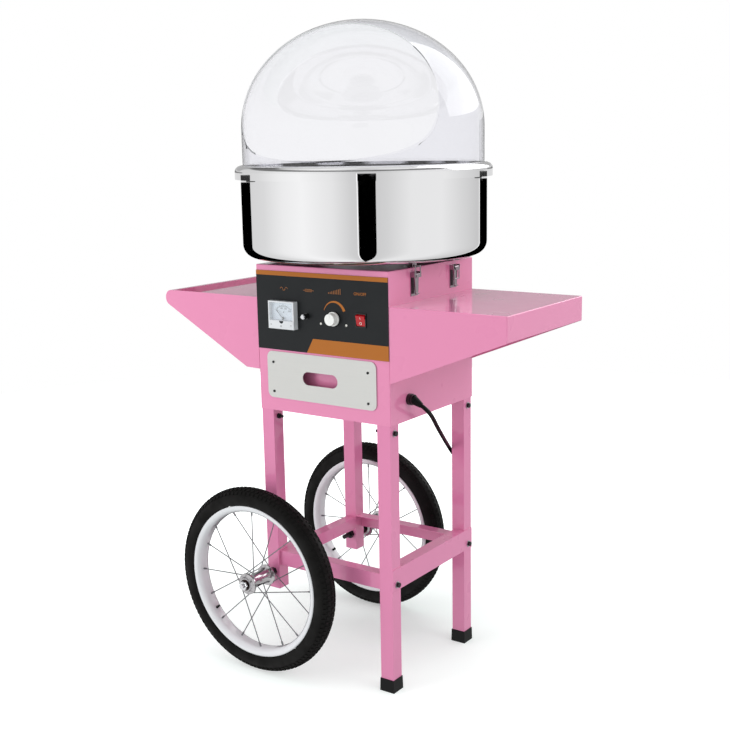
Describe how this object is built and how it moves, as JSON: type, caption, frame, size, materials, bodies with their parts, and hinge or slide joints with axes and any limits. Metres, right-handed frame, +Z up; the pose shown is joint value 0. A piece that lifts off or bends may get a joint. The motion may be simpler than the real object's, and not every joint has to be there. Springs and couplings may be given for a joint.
{
  "type": "cotton candy machine cart",
  "caption": "Electric cotton candy machine on a pink two-wheeled cart, with a mirror-polished bowl, a clear dome, a drawer, a flat shelf and a tray.",
  "frame": {"origin": "on the floor, under the axis of the bowl", "axes": "+X to the flat shelf, -Y out of the control panel, +Z up"},
  "size_m": [0.8361, 0.524, 1.3327],
  "materials": {
    "pink_paint": "gloss powder coat",
    "wing_paint": "gloss powder coat",
    "mirror_steel": "mirror polish",
    "clear_plastic": "clear gloss",
    "tyre_rubber": "matt",
    "rim_paint": "gloss enamel",
    "chrome_plate": "bright plate",
    "black_rubber": "matt",
    "black_plastic": "gloss",
    "black_zinc": "satin black zinc",
    "satin_steel": "brushed",
    "panel_film": "satin film, printed",
    "white_plastic": "gloss",
    "red_plastic": "gloss",
    "galvanised": "zinc plate",
    "cast_alloy": "as cast"
  },
  "bodies": {
    "cart": {"cabinet_shell": "pink_paint", "cabinet_floor": "galvanised", "back_cover": "pink_paint", "cabinet_screws": "galvanised", "right_shelf": "pink_paint", "left_tray": "wing_paint", "leg_front_right": "pink_paint", "leg_rear_right": "pink_paint", "leg_front_left": "pink_paint", "leg_rear_left": "pink_paint", "cross_stretchers": "pink_paint", "stretcher_left": "pink_paint", "stretcher_right": "pink_paint", "rubber_feet": "black_rubber", "frame_bolts": "black_zinc", "axle_front": "black_zinc", "axle_rear": "black_zinc", "bowl": "mirror_steel", "bowl_rim": "mirror_steel", "bowl_catches": "chrome_plate", "bearing_housing": "cast_alloy", "motor": "black_zinc", "motor_bracket": "galvanised", "control_panel": "panel_film", "meter_case": "clear_plastic", "fuse_holder": "black_plastic", "heat_control": "black_plastic", "switch_body": "black_plastic", "drawer_runners": "galvanised", "latch_plates": "chrome_plate", "cord_inlet": "black_rubber", "mains_cord": "black_rubber", "cord_hank": "black_rubber", "cord_strap": "black_plastic", "plug": "black_plastic"},
    "front_wheel": {"tyre_front": "tyre_rubber", "rim_front": "rim_paint", "spokes_front": "chrome_plate", "hub_front": "chrome_plate"},
    "rear_wheel": {"tyre_rear": "tyre_rubber", "rim_rear": "rim_paint", "spokes_rear": "chrome_plate", "hub_rear": "chrome_plate"},
    "spinner": {"drive_shaft": "galvanised", "spinner_head": "cast_alloy", "heating_ring": "satin_steel"},
    "dome_body": {"dome": "clear_plastic"},
    "knob": {"power_knob": "white_plastic"},
    "rocker": {"switch_rocker": "red_plastic"},
    "needle": {"meter_needle": "black_plastic"},
    "drawer": {"drawer_box": "galvanised", "drawer_front": "satin_steel"},
    "lever_front_right": {"latch_lever_front_right": "chrome_plate"},
    "bail_front_right": {"latch_bail_front_right": "chrome_plate"},
    "lever_rear_right": {"latch_lever_rear_right": "chrome_plate"},
    "bail_rear_right": {"latch_bail_rear_right": "chrome_plate"},
    "lever_front_left": {"latch_lever_front_left": "chrome_plate"},
    "bail_front_left": {"latch_bail_front_left": "chrome_plate"},
    "lever_rear_left": {"latch_lever_rear_left": "chrome_plate"},
    "bail_rear_left": {"latch_bail_rear_left": "chrome_plate"}
  },
  "joints": [
    {"name": "front_wheel_spin", "type": "hinge", "parent": "cart", "child": "front_wheel", "pos_m": [-0.145, -0.211, 0.1995], "axis": [0, 1, 0], "continuous": true},
    {"name": "rear_wheel_spin", "type": "hinge", "parent": "cart", "child": "rear_wheel", "pos_m": [-0.145, 0.211, 0.1995], "axis": [0, 1, 0], "continuous": true},
    {"name": "spinner_spin", "type": "hinge", "parent": "cart", "child": "spinner", "pos_m": [0, 0, 0.93], "axis": [0, 0, 1], "continuous": true},
    {"name": "dome_lift", "type": "slide", "parent": "cart", "child": "dome_body", "axis": [0, 0, 1], "range_m": [0, 0.3]},
    {"name": "knob_turn", "type": "hinge", "parent": "cart", "child": "knob", "pos_m": [0.034, -0.165, 0.758], "axis": [0, 1, 0], "range_deg": [0, 270]},
    {"name": "rocker_tip", "type": "hinge", "parent": "cart", "child": "rocker", "pos_m": [0.0985, -0.1557, 0.7595], "axis": [-1, 0, 0], "range_deg": [0, 24]},
    {"name": "needle_swing", "type": "hinge", "parent": "cart", "child": "needle", "pos_m": [-0.0885, -0.166, 0.751], "axis": [0, 1, 0], "range_deg": [0, 90], "stiffness_Nm_per_rad": 0.0001},
    {"name": "drawer_slide", "type": "slide", "parent": "cart", "child": "drawer", "axis": [0, -1, 0], "range_m": [0, 0.19]},
    {"name": "lever_front_right_open", "type": "hinge", "parent": "cart", "child": "lever_front_right", "pos_m": [0.1685, -0.069, 0.843], "axis": [0, -1, 0], "range_deg": [0, 110]},
    {"name": "bail_front_right_swing", "type": "hinge", "parent": "lever_front_right", "child": "bail_front_right", "pos_m": [0.172, -0.069, 0.8395], "axis": [0, 1, 0], "range_deg": [0, 110]},
    {"name": "lever_rear_right_open", "type": "hinge", "parent": "cart", "child": "lever_rear_right", "pos_m": [0.1685, 0.078, 0.843], "axis": [0, -1, 0], "range_deg": [0, 110]},
    {"name": "bail_rear_right_swing", "type": "hinge", "parent": "lever_rear_right", "child": "bail_rear_right", "pos_m": [0.172, 0.078, 0.8395], "axis": [0, -1, 0], "range_deg": [0, 60]},
    {"name": "lever_front_left_open", "type": "hinge", "parent": "cart", "child": "lever_front_left", "pos_m": [-0.1685, -0.069, 0.843], "axis": [0, 1, 0], "range_deg": [0, 110]},
    {"name": "bail_front_left_swing", "type": "hinge", "parent": "lever_front_left", "child": "bail_front_left", "pos_m": [-0.172, -0.069, 0.8395], "axis": [0, -1, 0], "range_deg": [0, 110]},
    {"name": "lever_rear_left_open", "type": "hinge", "parent": "cart", "child": "lever_rear_left", "pos_m": [-0.1685, 0.078, 0.843], "axis": [0, 1, 0], "range_deg": [0, 110]},
    {"name": "bail_rear_left_swing", "type": "hinge", "parent": "lever_rear_left", "child": "bail_rear_left", "pos_m": [-0.172, 0.078, 0.8395], "axis": [0, -1, 0], "range_deg": [0, 110]}
  ],
  "couplings": [
    {"joint": "bail_front_right_swing", "follows": "lever_front_right_open", "ratio": 1},
    {"joint": "bail_front_left_swing", "follows": "lever_front_left_open", "ratio": 1},
    {"joint": "bail_rear_left_swing", "follows": "lever_rear_left_open", "ratio": 1}
  ]
}
